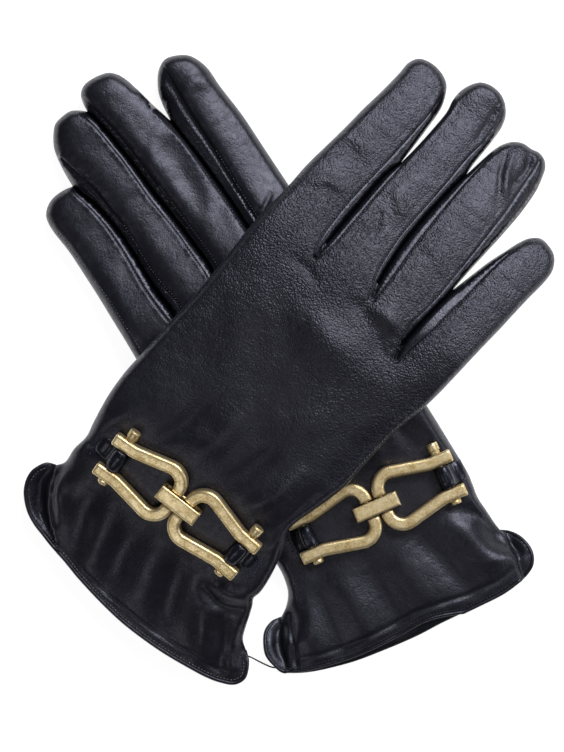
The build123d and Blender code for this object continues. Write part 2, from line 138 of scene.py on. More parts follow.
# ---------------------------------------------------------------- the drawings of the two gloves
GLOVES = {
    "right": {
        "turn": radians(-38),
        "mirrored": False,
        "rest": ((-160, 1.2), (-102, 1.2), (-42, 21.9), (46, 21.9), (128, 1.2), (170, 1.2)),
        "index_side": [
            (-47.5, -80.7), (-45.4, -77.5), (-45.7, -71), (-44.8, -64.2), (-45.8, -59.2), (-47.1, -51.7),
            (-47.9, -45), (-48.1, -35), (-47.6, -28), (-46.4, -10), (-45.2, 5), (-44.8, 20), (-44.6, 40),
            (-42.9, 58), (-42.3, 70), (-41, 80), (-39.7, 90), (-38.7, 100), (-37.3, 110), (-36.3, 120),
            (-36, 125.5), (-33.6, 129.3), (-28.3, 130.8), (-22.7, 129.9), (-19.2, 127.8), (-16.7, 123.7),
            (-15.2, 119), (-14.6, 109), (-14.4, 92.8),
        ],
        "middle": [
            (-14.4, 92.8), (-13.6, 100), (-12.9, 110), (-12.7, 119.5), (-13.6, 124.2), (-13.6, 128.5),
            (-12, 133.2), (-9.4, 136.6), (-5, 138.2), (-0.4, 137.8), (3.3, 135.8), (6.2, 132.4), (7.7, 128),
            (8.1, 120), (7.9, 108.7), (8.2, 105),
        ],
        "ring": [
            (8.2, 105), (9.3, 112), (10.4, 118), (11.9, 122.5), (14.4, 126), (18, 128.1), (22, 128.4),
            (25, 129.1), (28.3, 128.3), (30.6, 126), (32.1, 122), (33.2, 117), (33.8, 107), (33.3, 95),
            (32.5, 85), (31.7, 75), (31.2, 66.2),
        ],
        "little_side": [
            (31.2, 66.2), (32.7, 72), (34.2, 78), (35.8, 84), (37.9, 90), (40, 96), (42.4, 100.4),
            (46, 103), (50, 102.7), (53.6, 101.2), (56, 98.4), (57.2, 95), (57.2, 90), (56.2, 82),
            (55.4, 74), (54.6, 65), (53.7, 57), (52.9, 49), (52.1, 40), (51.2, 31), (50, 23), (47.7, 12),
            (46.2, 0), (44.9, -18), (42.8, -27), (40.4, -35), (38.6, -41), (38.2, -45.5), (39.6, -49),
            (41.4, -53), (43, -59), (44.2, -65.8), (44.5, -70.8), (43.9, -74), (45, -75.8), (46.6, -79.5),
            (48.3, -84.2), (50.6, -89.2), (54.2, -91.9),
        ],
        "hem": [
            (54.2, -91.9), (56.6, -94.4), (58.8, -97.4), (60, -101), (58.3, -104.6), (53.3, -107.3),
            (48.3, -108.8), (40, -110.2), (30, -111.5), (20, -112.1), (10, -112.1), (0, -111.2),
            (-8.3, -110), (-15, -108.8), (-22.5, -107.1), (-30, -105.8), (-35, -104.6), (-40, -103.3),
            (-44.6, -101.2), (-48.3, -98.3), (-50.8, -95.4), (-52.5, -91.7), (-52.9, -88.3), (-52.1, -85.4),
            (-50.4, -82.5), (-47.5, -80.7),
        ],
        # from fork to tip: the seam of each finger's side nearer the little finger, then the other side's
        "gaps": [
            {
                "near": [(-18.4, 43), (-20.2, 50), (-20.7, 65), (-19.6, 80), (-18.3, 95), (-17.7, 105),
                         (-17.3, 114), (-17.7, 120), (-18.6, 126.6)],
                "valley": [(-17.9, 43.5), (-17.8, 50), (-17.6, 60), (-17.2, 70), (-16.8, 80), (-15.7, 88),
                           (-14.4, 92.8)],
                "far": [(-17.2, 43), (-15.6, 50), (-15, 60), (-14.6, 70), (-14.2, 80), (-13.7, 90),
                        (-12.9, 100), (-12.2, 110), (-12, 119.5), (-12.9, 126)],
                "open": [(-13.9, 100), (-13.7, 112), (-14.4, 122), (-15.4, 131)],
            },
            {
                "near": [(7.9, 43.6), (4.8, 52.4), (3.75, 58.7), (2.9, 70), (3.3, 80), (3.9, 90),
                         (4.3, 100), (4.6, 109), (5.7, 120), (4.8, 130), (3.6, 134.2)],
                "valley": [(8.6, 44.2), (6.8, 52), (5.8, 60), (5.2, 70), (5.5, 80), (6.2, 90), (7.3, 99),
                           (8.2, 105)],
                "far": [(9.6, 43.6), (9.9, 50), (9.6, 60), (9.2, 70), (9.2, 84), (9.6, 100), (10.6, 112),
                        (11.6, 119), (13.8, 124.4)],
                "open": [(8.8, 110), (9.8, 118), (10.6, 125), (9.2, 135)],
            },
            {
                "near": [(29.2, 30.4), (26.9, 38), (26.4, 45), (27.5, 52), (28.3, 60), (28.6, 70),
                         (28.8, 80), (28.8, 100), (28.3, 110), (27.5, 120), (26.7, 127.8)],
                "valley": [(29.9, 31.2), (28.7, 38), (28.8, 45), (29.5, 52), (30.4, 60), (31.2, 66.2)],
                "far": [(30.9, 30.4), (32.5, 38), (33.7, 45), (34.6, 50), (35.4, 59), (36.4, 65),
                        (37.3, 75), (38.3, 84), (39.4, 90), (41, 96.6)],
                "open": [(33.4, 78), (36.4, 94), (38, 108), (34, 131)],
            },
        ],
        "tips_from": (116, 126, 118, 92),
    },
    "left": {
        "turn": radians(30),
        "mirrored": True,
        "rest": ((-160, 0), (-50, 0), (-22, 5.5), (45, 5.5), (72, 0), (170, 0)),
        "index_side": [
            (-43.4, -94), (-42.9, -91), (-42.5, -85), (-42.1, -78.3), (-42.9, -73.3), (-43.5, -68.3),
            (-43.3, -55), (-43, -45), (-42.6, -35), (-42.2, -15), (-42, 5), (-41.4, 30), (-39.6, 55),
            (-38.7, 70), (-38.1, 80), (-37.2, 95), (-36, 104), (-35.2, 110), (-34.7, 117), (-33.2, 121.6),
            (-30.8, 125.3), (-27, 127.6), (-22.8, 128.7), (-20.3, 128.1), (-17.4, 125.8), (-14.9, 122),
            (-13.2, 118), (-12.4, 113), (-12, 107.2),
        ],
        "middle": [
            (-12, 107.2), (-10.8, 111), (-9.1, 116), (-7, 123.7), (-5.3, 129), (-3.2, 132.8), (-0.3, 135.2),
            (6.3, 136.2), (10.5, 135.4), (13, 133), (13.9, 129.5), (14.1, 126.2),
        ],
        "ring": [
            (14.1, 126.2), (16.4, 128), (19.7, 129.6), (23.8, 129.3), (27.2, 128.2), (29.7, 125.3),
            (32, 121), (33, 117), (33.5, 110), (33.4, 104),
        ],
        "little_side": [
            (33.4, 104), (37.2, 104.4), (42.2, 103.9), (45.5, 102.2), (48, 99.3), (48.7, 96), (48.6, 92),
            (48, 88), (47.2, 82), (46.6, 72), (46.1, 62), (45.8, 52), (45.5, 42), (45.4, 30), (45.8, 10),
            (46.2, -10), (45.4, -28), (42.4, -45), (39.4, -55), (38.1, -62.5), (38.4, -68.3), (40, -74),
            (43.2, -78), (47, -80.7),
        ],
        "hem": [
            (47, -80.7), (51, -80.9), (54.6, -82.5), (57.1, -85.8), (58.8, -90.4), (57.9, -95.8),
            (56.7, -98.8), (52.5, -101.7), (46.7, -104.4), (38.3, -107.1), (30, -109.2), (20, -110.8),
            (10, -112.1), (3.3, -112.7), (-5, -113), (-11.7, -113.5), (-21.7, -114.3), (-31.7, -114.9),
            (-38.3, -114.3), (-43.3, -113.3), (-47.1, -111.2), (-49.2, -107.5), (-49.3, -103.3),
            (-47.9, -99.2), (-45.6, -96.2), (-43.4, -94),
        ],
        "back_hem": [
            (55.6, -99.5), (50, -102.1), (40, -105), (30, -107.2), (20, -108.3), (10, -108.8), (0, -109),
            (-7, -110.6), (-14, -113.3),
        ],
        "gaps": [
            {
                "near": [(-21.6, 42.5), (-22.2, 52), (-21.6, 66), (-21.2, 80), (-21, 89), (-20.5, 99),
                         (-20.1, 107), (-20.2, 117), (-20.2, 126.4)],
                "valley": [(-19.2, 42.5), (-17.5, 53), (-16.8, 65), (-16.1, 74), (-15.3, 82), (-14.4, 90),
                           (-13.2, 98.7), (-12, 107.2)],
                "far": [(-18.2, 42), (-16.3, 53), (-15.5, 65), (-14.9, 74), (-14, 82), (-13.2, 90),
                        (-12, 98.7), (-10.4, 107), (-8.7, 113)],
                "open": [(-11.6, 111), (-11.2, 118), (-11.4, 124), (-14, 131)],
            },
            {
                "near": [(2.4, 41.8), (0.8, 49.5), (1.3, 60), (2.6, 70), (3.8, 79.5), (5.1, 89),
                         (6.3, 98), (7.2, 105), (8.4, 113), (9.7, 119.5), (11.3, 126), (12.4, 131)],
                "valley": [(4, 42), (2.8, 50), (3.8, 60), (4.9, 69), (6.1, 77), (7.4, 85), (8.4, 94),
                           (9.3, 102), (10.6, 110), (12.2, 119.5), (14.1, 126.2)],
                "far": [(5.4, 41.5), (5.5, 50), (6.3, 60), (7.2, 69), (8.4, 77), (9.7, 85), (10.5, 94),
                        (11.3, 102), (12.6, 110), (14.2, 119.5), (16.6, 126.6)],
                "open": [(14.5, 128.5), (15, 134)],
            },
            {
                "near": [(22.4, 36), (20.7, 44), (22.2, 52), (23.4, 60), (23.7, 70), (23.9, 80),
                         (25.3, 90), (26.8, 99), (28, 104), (29.8, 109), (31.5, 115)],
                "valley": [(24.2, 36.3), (24.5, 44), (25.4, 52), (25.8, 62), (25.9, 70), (26.5, 78),
                           (27.8, 86), (29.8, 94), (33.4, 104)],
                "far": [(26.4, 36), (28, 47), (28.7, 56), (28.8, 72), (29.3, 80), (30.5, 89), (31.9, 95),
                        (34.2, 102.2)],
                "open": [(35.6, 108), (37, 122)],
            },
        ],
        "tips_from": (114, 124, 117, 92),
    },
}


# ================================================================ drawing helpers
def smooth_through(points, step):
    """A smooth line through given points (centripetal Catmull-Rom), sampled about every step."""
    points = np.array(points, float)
    first = 2 * points[0] - points[1]
    last = 2 * points[-1] - points[-2]
    ring = np.vstack([first, points, last])
    line = [points[0]]
    for i in range(1, len(ring) - 2):
        p0, p1, p2, p3 = ring[i - 1:i + 3]
        t0 = 0.0
        t1 = t0 + max(np.linalg.norm(p1 - p0), 1e-6) ** 0.5
        t2 = t1 + max(np.linalg.norm(p2 - p1), 1e-6) ** 0.5
        t3 = t2 + max(np.linalg.norm(p3 - p2), 1e-6) ** 0.5
        count = max(1, int(round(np.linalg.norm(p2 - p1) / step)))
        for k in range(1, count + 1):
            t = t1 + (t2 - t1) * k / count
            a1 = (t1 - t) / (t1 - t0) * p0 + (t - t0) / (t1 - t0) * p1
            a2 = (t2 - t) / (t2 - t1) * p1 + (t - t1) / (t2 - t1) * p2
            a3 = (t3 - t) / (t3 - t2) * p2 + (t - t2) / (t3 - t2) * p3
            b1 = (t2 - t) / (t2 - t0) * a1 + (t - t0) / (t2 - t0) * a2
            b2 = (t3 - t) / (t3 - t1) * a2 + (t - t1) / (t3 - t1) * a3
            line.append((t2 - t) / (t2 - t1) * b1 + (t - t1) / (t2 - t1) * b2)
    return np.array(line)


def flat_tree(points):
    """A search tree over points in the plane."""
    tree = kdtree.KDTree(len(points))
    for i, p in enumerate(points):
        tree.insert((p[0], p[1], 0), i)
    tree.balance()
    return tree


def near_distance(points, line):
    """Distance from each point to a finely sampled line."""
    tree = flat_tree(line)
    return np.array([tree.find((p[0], p[1], 0))[2] for p in points])


def stroke_field(points, line):
    """Distance to a coarse line, the share of its length there, and which side of it the point is on."""
    line = np.array(line, float)
    steps = np.linalg.norm(np.diff(line, axis=0), axis=1)
    total = steps.sum()
    best = np.full(len(points), 1e9)
    share = np.zeros(len(points))
    side = np.zeros(len(points))
    done = 0.0
    for a, b, size in zip(line, line[1:], steps):
        along = b - a
        t = np.clip(((points - a) @ along) / size**2, 0, 1)
        foot = a + t[:, None] * along
        d = np.linalg.norm(points - foot, axis=1)
        closer = d < best
        best = np.where(closer, d, best)
        share = np.where(closer, (done + t * size) / total, share)
        cross = along[0] * (points[:, 1] - a[1]) - along[1] * (points[:, 0] - a[0])
        side = np.where(closer, np.sign(cross), side)
        done += size
    return best, share, side


def offset_line(line, distance):
    """A flat line moved to its left by distance."""
    line = np.array(line, float)
    along = np.gradient(line, axis=0)
    along /= np.linalg.norm(along, axis=1)[:, None] + 1e-9
    return line + distance * np.column_stack([-along[:, 1], along[:, 0]])


def distance_along(line):
    """How far along a line each of its points is."""
    return np.concatenate([[0], np.cumsum(np.linalg.norm(np.diff(line, axis=0), axis=1))])


def inside(points, polygon):
    """Which points lie inside a closed polygon."""
    result = np.zeros(len(points), bool)
    x, y = points[:, 0], points[:, 1]
    for (x0, y0), (x1, y1) in zip(polygon, np.roll(polygon, -1, axis=0)):
        crosses = (y0 > y) != (y1 > y)
        with np.errstate(divide="ignore", invalid="ignore"):
            at = (x1 - x0) * (y - y0) / (y1 - y0) + x0
        result ^= crosses & (x < at)
    return result


def triangulate(points, edges, outline):
    """The triangles between some points that lie inside an outline and keep to the given edges."""
    made = geometry.delaunay_2d_cdt([Vector(p) for p in points], edges, [], 1, 0.02, True)
    verts = np.array([tuple(p) for p in made[0]])
    faces = np.array([tuple(f) for f in made[2]], int)
    return verts, faces[inside(verts[faces].mean(1), outline)]


def bell(distance, width):
    """1 at distance 0, falling smoothly to nothing past the width."""
    return np.exp(-(distance / width) ** 2)


def smoothstep(t):
    """Rises from 0 at t = 0 to 1 at t = 1 with level ends."""
    t = np.clip(t, 0, 1)
    return t * t * (3 - 2 * t)


def quarter_round(t):
    """Rises like a quarter circle from 0 at t = 0 to 1 at t = 1."""
    t = np.clip(t, 0, 1)
    return np.sqrt(1 - (1 - t) ** 2)


def rest_height(glove, v):
    """Height of the palm's underside above the table."""
    vs, zs = zip(*glove["rest"])
    fine = np.arange(-160.0, 170.5, 0.5)
    z = np.interp(fine, vs, zs)
    width = 24
    kernel = np.hanning(2 * width + 1)
    padded = np.pad(z, width, mode="edge")
    z = np.convolve(padded, kernel / kernel.sum(), mode="valid")
    return np.interp(v, fine, z)


def to_row(glove, points):
    """Own frame to the pair's frame, in metres. Points have columns u, v, z."""
    u = -points[:, 0] if glove["mirrored"] else points[:, 0]
    c, s = cos(glove["turn"]), sin(glove["turn"])
    x = c * u - s * points[:, 1] + CROSSING[0]
    y = s * u + c * points[:, 1] + CROSSING[1]
    return np.column_stack([x, y, points[:, 2]]) * MM


def two_skins(glove, verts, top, bottom):
    """The points of an upper surface and then of a lower one, in the pair's frame."""
    return to_row(glove, np.vstack([np.column_stack([verts, top]), np.column_stack([verts, bottom])]))


def facing_up(glove, faces):
    """Triangles listed so that they face up, although the left glove is mirrored."""
    return faces[:, ::-1] if glove["mirrored"] else faces


def strip_codes(glove, points):
    """0 on the back, and 10 * gap + 1 or + 2 on the strips at its near and far side."""
    codes = np.zeros(len(points), int)
    for k in range(len(glove["seams"])):
        for side, sign in (("near", 1), ("far", 2)):
            codes[inside(points, gap_polygon(glove, k, side))] = 10 * (k + 1) + sign
    return codes


# ================================================================ the flat drawing of one glove
def draw_glove(glove):
    """The outline and inner lines of a glove's back, triangulated on a fine even grid."""
    parts = ("index_side", "middle", "ring", "little_side", "hem")
    curves = [smooth_through(glove[part], CELL) for part in parts]
    outline = np.vstack([curve[:-1] for curve in curves])
    lines = []
    if "back_hem" in glove:
        glove["back_hem_line"] = smooth_through(glove["back_hem"], CELL)
        lines.append(glove["back_hem_line"])
    for gap in glove["gaps"]:
        gap_lines = {name: smooth_through(gap[name], CELL) for name in ("near", "valley", "far")}
        glove.setdefault("seams", []).append(gap_lines)
        lines += list(gap_lines.values())
    low, high = outline.min(0), outline.max(0)
    rows = []
    v = low[1]
    odd = False
    while v < high[1]:
        u = np.arange(low[0] + (CELL / 2 if odd else 0), high[0], CELL)
        rows.append(np.column_stack([u, np.full(len(u), v)]))
        v += CELL * sqrt(3) / 2
        odd = not odd
    grid = np.vstack(rows)
    grid = grid[inside(grid, outline)]
    fixed = np.vstack([outline, *lines])
    beside = []
    seam_lines = [gap[side] for gap in glove["seams"] for side in ("near", "far")]
    for line, offsets in [(outline, EDGE_ROWS)] + [(line, SEAM_ROWS) for line in seam_lines]:
        for distance in offsets:
            row = offset_line(line, distance)
            row = row[inside(row, outline)]
            row = row[near_distance(row, fixed) > 0.85 * min(abs(distance), CELL)]
            beside.append(row)
            fixed = np.vstack([fixed, row])
    grid = grid[near_distance(grid, fixed) > 0.6 * CELL]
    grid = np.vstack([*beside, grid])
    points = [outline]
    edges = [(i, (i + 1) % len(outline)) for i in range(len(outline))]
    count = len(outline)
    for line in lines:
        points.append(line)
        edges += [(count + i, count + i + 1) for i in range(len(line) - 1)]
        count += len(line)
    points.append(grid)
    points = np.vstack(points)
    glove["curves"] = curves
    glove["outline"] = outline
    return triangulate(points, edges, outline)


# ================================================================ heights
# Folds of the leather: (height in mm, half-width in mm, line). Positive folds stand up.
STROKES = {
    "right": [
        (-3.51, 4.6, [(-49.5, -83.5), (-48.6, -90), (-44, -96.5), (-38, -101)]),
        (-1.5, 1.1, [(-45, -78.5), (-44.4, -84), (-41, -91), (-34, -98.5)]),
        (1.3, 1.3, [(-50.3, -84.2), (-50, -90.5), (-46.8, -95.3), (-42.6, -98)]),
        (1.89, 3.6, [(-42.5, -79), (-41.5, -86), (-35, -95)]),
        (-1.8, 5, [(-30, -78), (-28, -88), (-22, -100)]),
        (1.8, 5.6, [(-20, -80), (-17, -92), (-13, -104)]),
        (-1.5, 5.2, [(-8, -80), (-7, -92), (-3, -104)]),
        (1.7, 5.6, [(3, -80), (5, -90), (10, -105)]),
        (-1.8, 4.8, [(14, -80), (17, -90), (23, -104)]),
        (2.29, 3.4, [(30, -79), (36, -78.5), (42, -74.5)]),
        (-1.8, 2.6, [(26, -82), (34, -83.5), (43.5, -79)]),
        (2.16, 4.4, [(30, -88), (36, -96), (41, -104)]),
        (-1.62, 3.6, [(40, -86), (46, -96), (50, -103)]),
        (1.2, 2.4, [(46, -88), (51, -97), (54, -103)]),
        (1.2, 3.2, [(-43, -62), (-41, -54), (-36, -44)]),
        (-1.4, 2.8, [(-44, -67.5), (-38, -65), (-30, -60)]),
        (-1.2, 3.6, [(-22, -48), (-18, -38), (-16, -26)]),
        (1.2, 5, [(-8, -47), (-4, -34), (-3, -20)]),
        (-1.2, 4, [(8, -47), (13, -34), (16, -20)]),
        (1.4, 3.6, [(21, -48), (26, -38), (28, -26)]),
        (-1.6, 3.2, [(33, -50), (36, -40), (37, -28)]),
        (1, 2.2, [(37.5, -54), (40, -44), (41, -32)]),
        (-2.4, 6.5, [(53, 34), (48.5, 15), (46, -4), (43, -24)]),
        (0.8, 7, [(-28, 26), (-24, 6), (-16, -14)]),
        (0.9, 7, [(24, 4), (18, -12), (14, -28)]),
        (-0.75, 0.8, [(-44, -98), (-35, -102.4), (-10, -106.8), (0, -107.6), (15, -108), (30, -107),
                      (40, -105.8), (50, -104.4), (56.2, -100.8)]),
    ],
    "left": [
        (-2.8, 3.6, [(46, -82.5), (51, -86), (54.5, -92), (55, -97)]),
        (-1.6, 1, [(42.5, -79.5), (45, -86), (49, -94), (51.5, -101)]),
        (1.2, 2, [(52, -83), (56, -88), (56.8, -95)]),
        (1.28, 4.6, [(38, -82), (41, -91), (44, -101)]),
        (-1.28, 4.37, [(29, -79), (31, -90), (33, -104)]),
        (1.28, 5.06, [(19, -80), (20, -92), (22, -106)]),
        (-1.12, 4.83, [(8, -80), (8, -92), (9, -106)]),
        (1.28, 5.52, [(-4, -80), (-5, -93), (-6, -107)]),
        (-1.36, 4.6, [(-15, -80), (-18, -92), (-21, -108)]),
        (1.36, 4.37, [(-26, -80), (-31, -88), (-36, -104)]),
        (-1.4, 3.4, [(-33, -79), (-38.5, -84), (-41.5, -92)]),
        (-1.7, 2.4, [(-40, -97.5), (-44, -101), (-46.5, -106)]),
        (1.2, 2, [(-46.8, -99.5), (-47.6, -104), (-45.5, -109.5)]),
        (1.3, 3.4, [(-41, -62), (-39.5, -50), (-38, -38)]),
        (-1.2, 4, [(25.2, -71), (25.9, -58), (26.8, -45)]),
        (-1.3, 3.4, [(-30, -47), (-29, -36), (-30, -24)]),
        (1.2, 4.2, [(-17, -46), (-16, -34), (-17, -22)]),
        (-0.7, 0.8, [(50, -97.5), (40, -100.5), (30, -102.7), (20, -103.8), (10, -104.3), (0, -104.5),
                     (-10, -106.5), (-20, -108.8), (-32, -110), (-42, -108.5)]),
    ],
}
# Steps down at a crease: (drop in mm, reach in mm, side of the line that drops, line).
LEDGES = {
    "right": [
        (2.4, 9, -1, [(-47, -79.8), (-45.4, -84.5), (-43, -90), (-39, -96), (-33.5, -100.5)]),
    ],
    "left": [
        (2.6, 8, -1, [(-43.3, -93), (-43.2, -99), (-42.4, -106), (-40.5, -113.5)]),
        (1.6, 6, 1, [(46.4, -80.9), (48.6, -86), (51.6, -92), (53.6, -99)]),
    ],
}
# Small folds of the side walls at the forks.
QUIRK_FOLDS = {
    "right": [
        (0.6, 0.9, [(-17.8, 44.5), (-18.6, 49), (-18.6, 54)]),
        (0.7, 0.9, [(8.8, 45.5), (8.4, 50), (7.2, 56)]),
        (1.8, 0.9, [(30.2, 32.5), (30.2, 37), (31, 42)]),
        (1.4, 0.8, [(31, 34), (32, 39), (32.2, 45)]),
    ],
    "left": [
        (0.7, 0.9, [(-18.9, 44), (-19, 50), (-18.2, 56)]),
        (0.7, 0.9, [(4, 43.5), (3.9, 48), (3.6, 54)]),
        (0.7, 0.9, [(24.3, 38), (25.4, 43), (26, 48)]),
    ],
}
FINGER_FOLDS = {
    "right": [
        (0.9, 2.4, [(-37, 66), (-31, 70), (-24, 71)]),
        (-0.8, 3, [(-40, 80), (-33, 84), (-25, 82)]),
        (0.7, 2.4, [(-10, 84), (-5, 80), (-1, 76)]),
        (-0.7, 1.4, [(-9, 72), (-6, 66), (-5.5, 62)]),
        (0.6, 2, [(13, 74), (19, 72), (25, 68)]),
        (-0.8, 1.1, [(1.6, 131), (2.6, 124), (3, 117)]),
        (-1.3, 1.5, [(22.6, 126), (25.6, 120.5), (24.6, 114)]),
        (-0.6, 1, [(15, 121), (18, 113), (24, 104)]),
        (0.5, 1.1, [(17.6, 122.5), (20, 115), (25.8, 106.5)]),
        (2.3, 8.5, [(-6, 23), (8, 20.5), (22, 20)]),
        (-0.5, 2.2, [(19, 36), (23.5, 31), (27.5, 29.5)]),
        (1, 3, [(14, 42), (19, 42), (24, 41)]),
        (-0.9, 3, [(3, 38), (8, 38.5), (13, 36)]),
        (-0.9, 2.2, [(-24, 38), (-18, 38), (-12, 36.5)]),
    ],
    "left": [
        (2.2, 9.5, [(-21, 118), (-22, 92), (-23, 44)]),
        (1.5, 5.5, [(7.5, 126), (4.5, 108), (1.5, 88), (0, 72)]),
        (1.5, 7.5, [(0, 86), (-1.5, 66), (-3, 42)]),
        (1.2, 7, [(27, 112), (21, 86), (18, 44)]),
        (1.2, 6, [(44, 96), (41, 76), (40, 44)]),
        (0.8, 3, [(-33, 112), (-27, 115), (-21, 113)]),
        (-0.9, 1.2, [(-22, 60.5), (-26, 59), (-31, 62.5)]),
        (-0.7, 4.5, [(-8, 94), (-5, 84), (-4, 74)]),
        (0.5, 2.6, [(-4, 104), (0, 100), (4, 94)]),
        (0.4, 3, [(-12, 80), (-10, 72), (-6, 66)]),
        (-0.4, 3.4, [(26, 96), (22, 90), (15, 86)]),
    ],
}


def blend_noise(points, scale, seed, stretch=(1.0, 1.0)):
    """Smooth noise, about -1 to 1, at a size in mm, pulled out along u or v."""
    at = np.column_stack([points[:, 0] / (scale * stretch[0]), points[:, 1] / (scale * stretch[1])])
    return np.array([noise.noise(Vector((p[0], p[1], seed))) for p in at])


def swell(verts, faces, held, start):
    """How far the leather swells between its seams: 0 at the held points, towards 1 far from them."""
    edges = np.vstack([faces[:, [0, 1]], faces[:, [1, 2]], faces[:, [2, 0]]])
    edges = np.unique(np.sort(edges, axis=1), axis=0)
    a, b = edges[:, 0], edges[:, 1]
    degree = np.bincount(a, minlength=len(verts)) + np.bincount(b, minlength=len(verts))
    c = 4 * CROWN_REACH**2 / CELL**2
    value = start.copy()
    for _ in range(150):
        total = np.bincount(a, value[b], len(verts)) + np.bincount(b, value[a], len(verts))
        value = (1 + c * total / degree) / (1 + c)
        value[held] = 0
    return value


def folded_and_open(glove):
    """The outline's points where the leather folds over, and those at the open sides of the fingers."""
    folds, open_gaps = [], []
    for finger, curve, tip in zip(FINGERS, glove["curves"], glove["tips_from"]):
        fold = curve[:, 1] > tip
        highest = int(np.argmax(curve[:, 1]))
        order = np.arange(len(curve))
        if finger == "index":
            fold |= order < highest
        if finger == "little":
            fold |= order > highest
        folds.append(curve[fold])
        open_gaps.append(curve[~fold])
    return np.vstack(folds), np.vstack(open_gaps)


def back_heights(name, glove, verts, faces):
    """Heights of the back and palm surfaces over the flat drawing, and the distance to its outline."""
    seams = glove["seams"]
    fold_line, gap_line = folded_and_open(glove)
    valley_line = np.vstack([lines["valley"] for lines in seams])
    seam_line = np.vstack([lines[k] for lines in seams for k in ("near", "far")])

    d_fold = near_distance(verts, fold_line)
    d_gap = near_distance(verts, gap_line)
    d_valley = near_distance(verts, valley_line)
    d_seam = near_distance(verts, seam_line)
    d_outline = near_distance(verts, glove["outline"])
    region = strip_codes(glove, verts)
    rest = rest_height(glove, verts[:, 1])
    hem = glove["curves"][-1]
    d_ends = np.minimum(*(np.linalg.norm(verts - end, axis=1) for end in (hem[0], hem[-1])))
    d_hem = near_distance(verts, hem)
    lobe = bell(d_ends, LOBE_REACH) * bell(d_hem, LOBE_DEPTH)
    middle = rest + MID_HEIGHT + (LOBE_HEIGHT - MID_HEIGHT) * lobe
    top = rest + BODY_HEIGHT
    plateau = middle + (top - middle) * quarter_round(d_fold / FOLD_RADIUS) * (1 - 0.8 * lobe)

    weight_valley = 1 / (d_valley + 0.05) ** 3
    weight_gap = 1 / (d_gap + 0.05) ** 3
    share = weight_valley / (weight_valley + weight_gap)
    edge_height = share * (rest + VALLEY_HEIGHT) + (1 - share) * middle
    d_edge = np.minimum(d_valley, d_gap)
    t = d_edge / (d_edge + d_seam + 1e-6)
    wall_share = 0.84 * smoothstep(t / 0.32) + 0.16 * np.clip((t - 0.15) / 0.85, 0, 1)
    wall = edge_height + (plateau - edge_height) * wall_share

    start = 1 - np.exp(-np.minimum(d_seam, d_outline) / CROWN_REACH)
    held = (d_seam < 0.05) | (d_outline < 0.05) | (region > 0)
    crown = swell(verts, faces, held, start) ** 0.85
    back = plateau + CROWN * crown
    arch, arch_u, arch_width = ARCH[name]
    arch_share = np.clip(1 - ((verts[:, 0] - arch_u) / arch_width) ** 2, 0, 1)
    arch_share = arch_share * smoothstep((verts[:, 1] + 55.0) / 60.0)
    plateau_lift = arch * arch_share * quarter_round(np.minimum(d_fold, d_gap) / 8.0)
    back += plateau_lift
    away = smoothstep(np.minimum(d_outline, d_seam + 1.0) / 4.0)
    for height, width, line in STROKES[name] + FINGER_FOLDS[name]:
        d, along, _ = stroke_field(verts, line)
        ends = np.sin(pi * np.clip(0.08 + 0.84 * along, 0, 1)) ** 0.6
        back += height * bell(d, width) * ends * (0.25 + 0.75 * away)
    for drop, reach, turn, line in LEDGES[name]:
        d, _, side = stroke_field(verts, line)
        back -= drop * smoothstep(d / 1.3) * bell(d, reach) * (side == turn)
    fine = sum(blend_noise(verts, scale, seed, stretch) * height for scale, seed, stretch, height in WAVES)
    finger_share = smoothstep((verts[:, 1] - 50.0) / 20.0)
    cross_folds = blend_noise(verts, *FINGER_WAVE) * FINGER_CREASE[name] * finger_share
    back += (fine + cross_folds) * away
    lip_height, lip_place, lip_width = LIP
    groove_depth, groove_width = GROOVE
    lip = lip_height * bell(d_seam - lip_place, lip_width) - groove_depth * bell(d_seam, groove_width)
    back += lip * smoothstep(d_outline / 1.2)
    wall += plateau_lift * wall_share
    wall += SIDE_PUFF[name] * bell(t - 0.60, 0.17) * (region % 10 == 1)
    for height, width, line in QUIRK_FOLDS[name]:
        d, along, _ = stroke_field(verts, line)
        wall += height * bell(d, width) * np.sin(pi * np.clip(along, 0.05, 0.95)) * (1 - wall_share)
    z_top = np.where((region > 0) & (d_seam > 0.02), wall, back)
    z_top = np.maximum(z_top, rest + LOWEST_BACK)
    d_side = np.minimum(d_fold, d_gap)
    z_bottom = middle - (middle - rest) * quarter_round(d_side / PALM_RADIUS)
    z_bottom += PALM_GAP_LIFT * bell(d_valley, 1.6)
    z_bottom = np.minimum(z_bottom, z_top - THINNEST)
    return z_top, z_bottom, d_outline


def gap_polygon(glove, k, side):
    """The ground of one fourchette: from its seam to the valley, and past the open side of the finger."""
    lines = glove["seams"][k]
    seam, valley = lines[side], lines["valley"]
    past_tip = seam[-1] + 2.5 * (seam[-1] - seam[-3]) / np.linalg.norm(seam[-1] - seam[-3])
    return np.vstack([seam, [past_tip], glove["gaps"][k]["open"][::-1], valley[::-1]])


# ================================================================ pieces
def new_object(name, data, body, material):
    piece = bpy.data.objects.new(name, data)
    bpy.context.scene.collection.objects.link(piece)
    piece.data.materials.append(material)
    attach(piece, body)
    return piece


def mesh_from(name, points, faces, grain=None):
    """A smooth mesh from points in metres, without unused points, with each point's share of grain."""
    faces = [tuple(f) for f in faces]
    used = sorted({i for f in faces for i in f})
    place = {old: new for new, old in enumerate(used)}
    mesh = bpy.data.meshes.new(name)
    mesh.from_pydata([tuple(points[i]) for i in used], [], [tuple(place[i] for i in f) for f in faces])
    mesh.update()
    mesh.polygons.foreach_set("use_smooth", [True] * len(mesh.polygons))
    if grain is not None:
        layer = mesh.attributes.new("grain", "FLOAT", "POINT")
        layer.data.foreach_set("value", [float(grain[i]) for i in used])
    return mesh


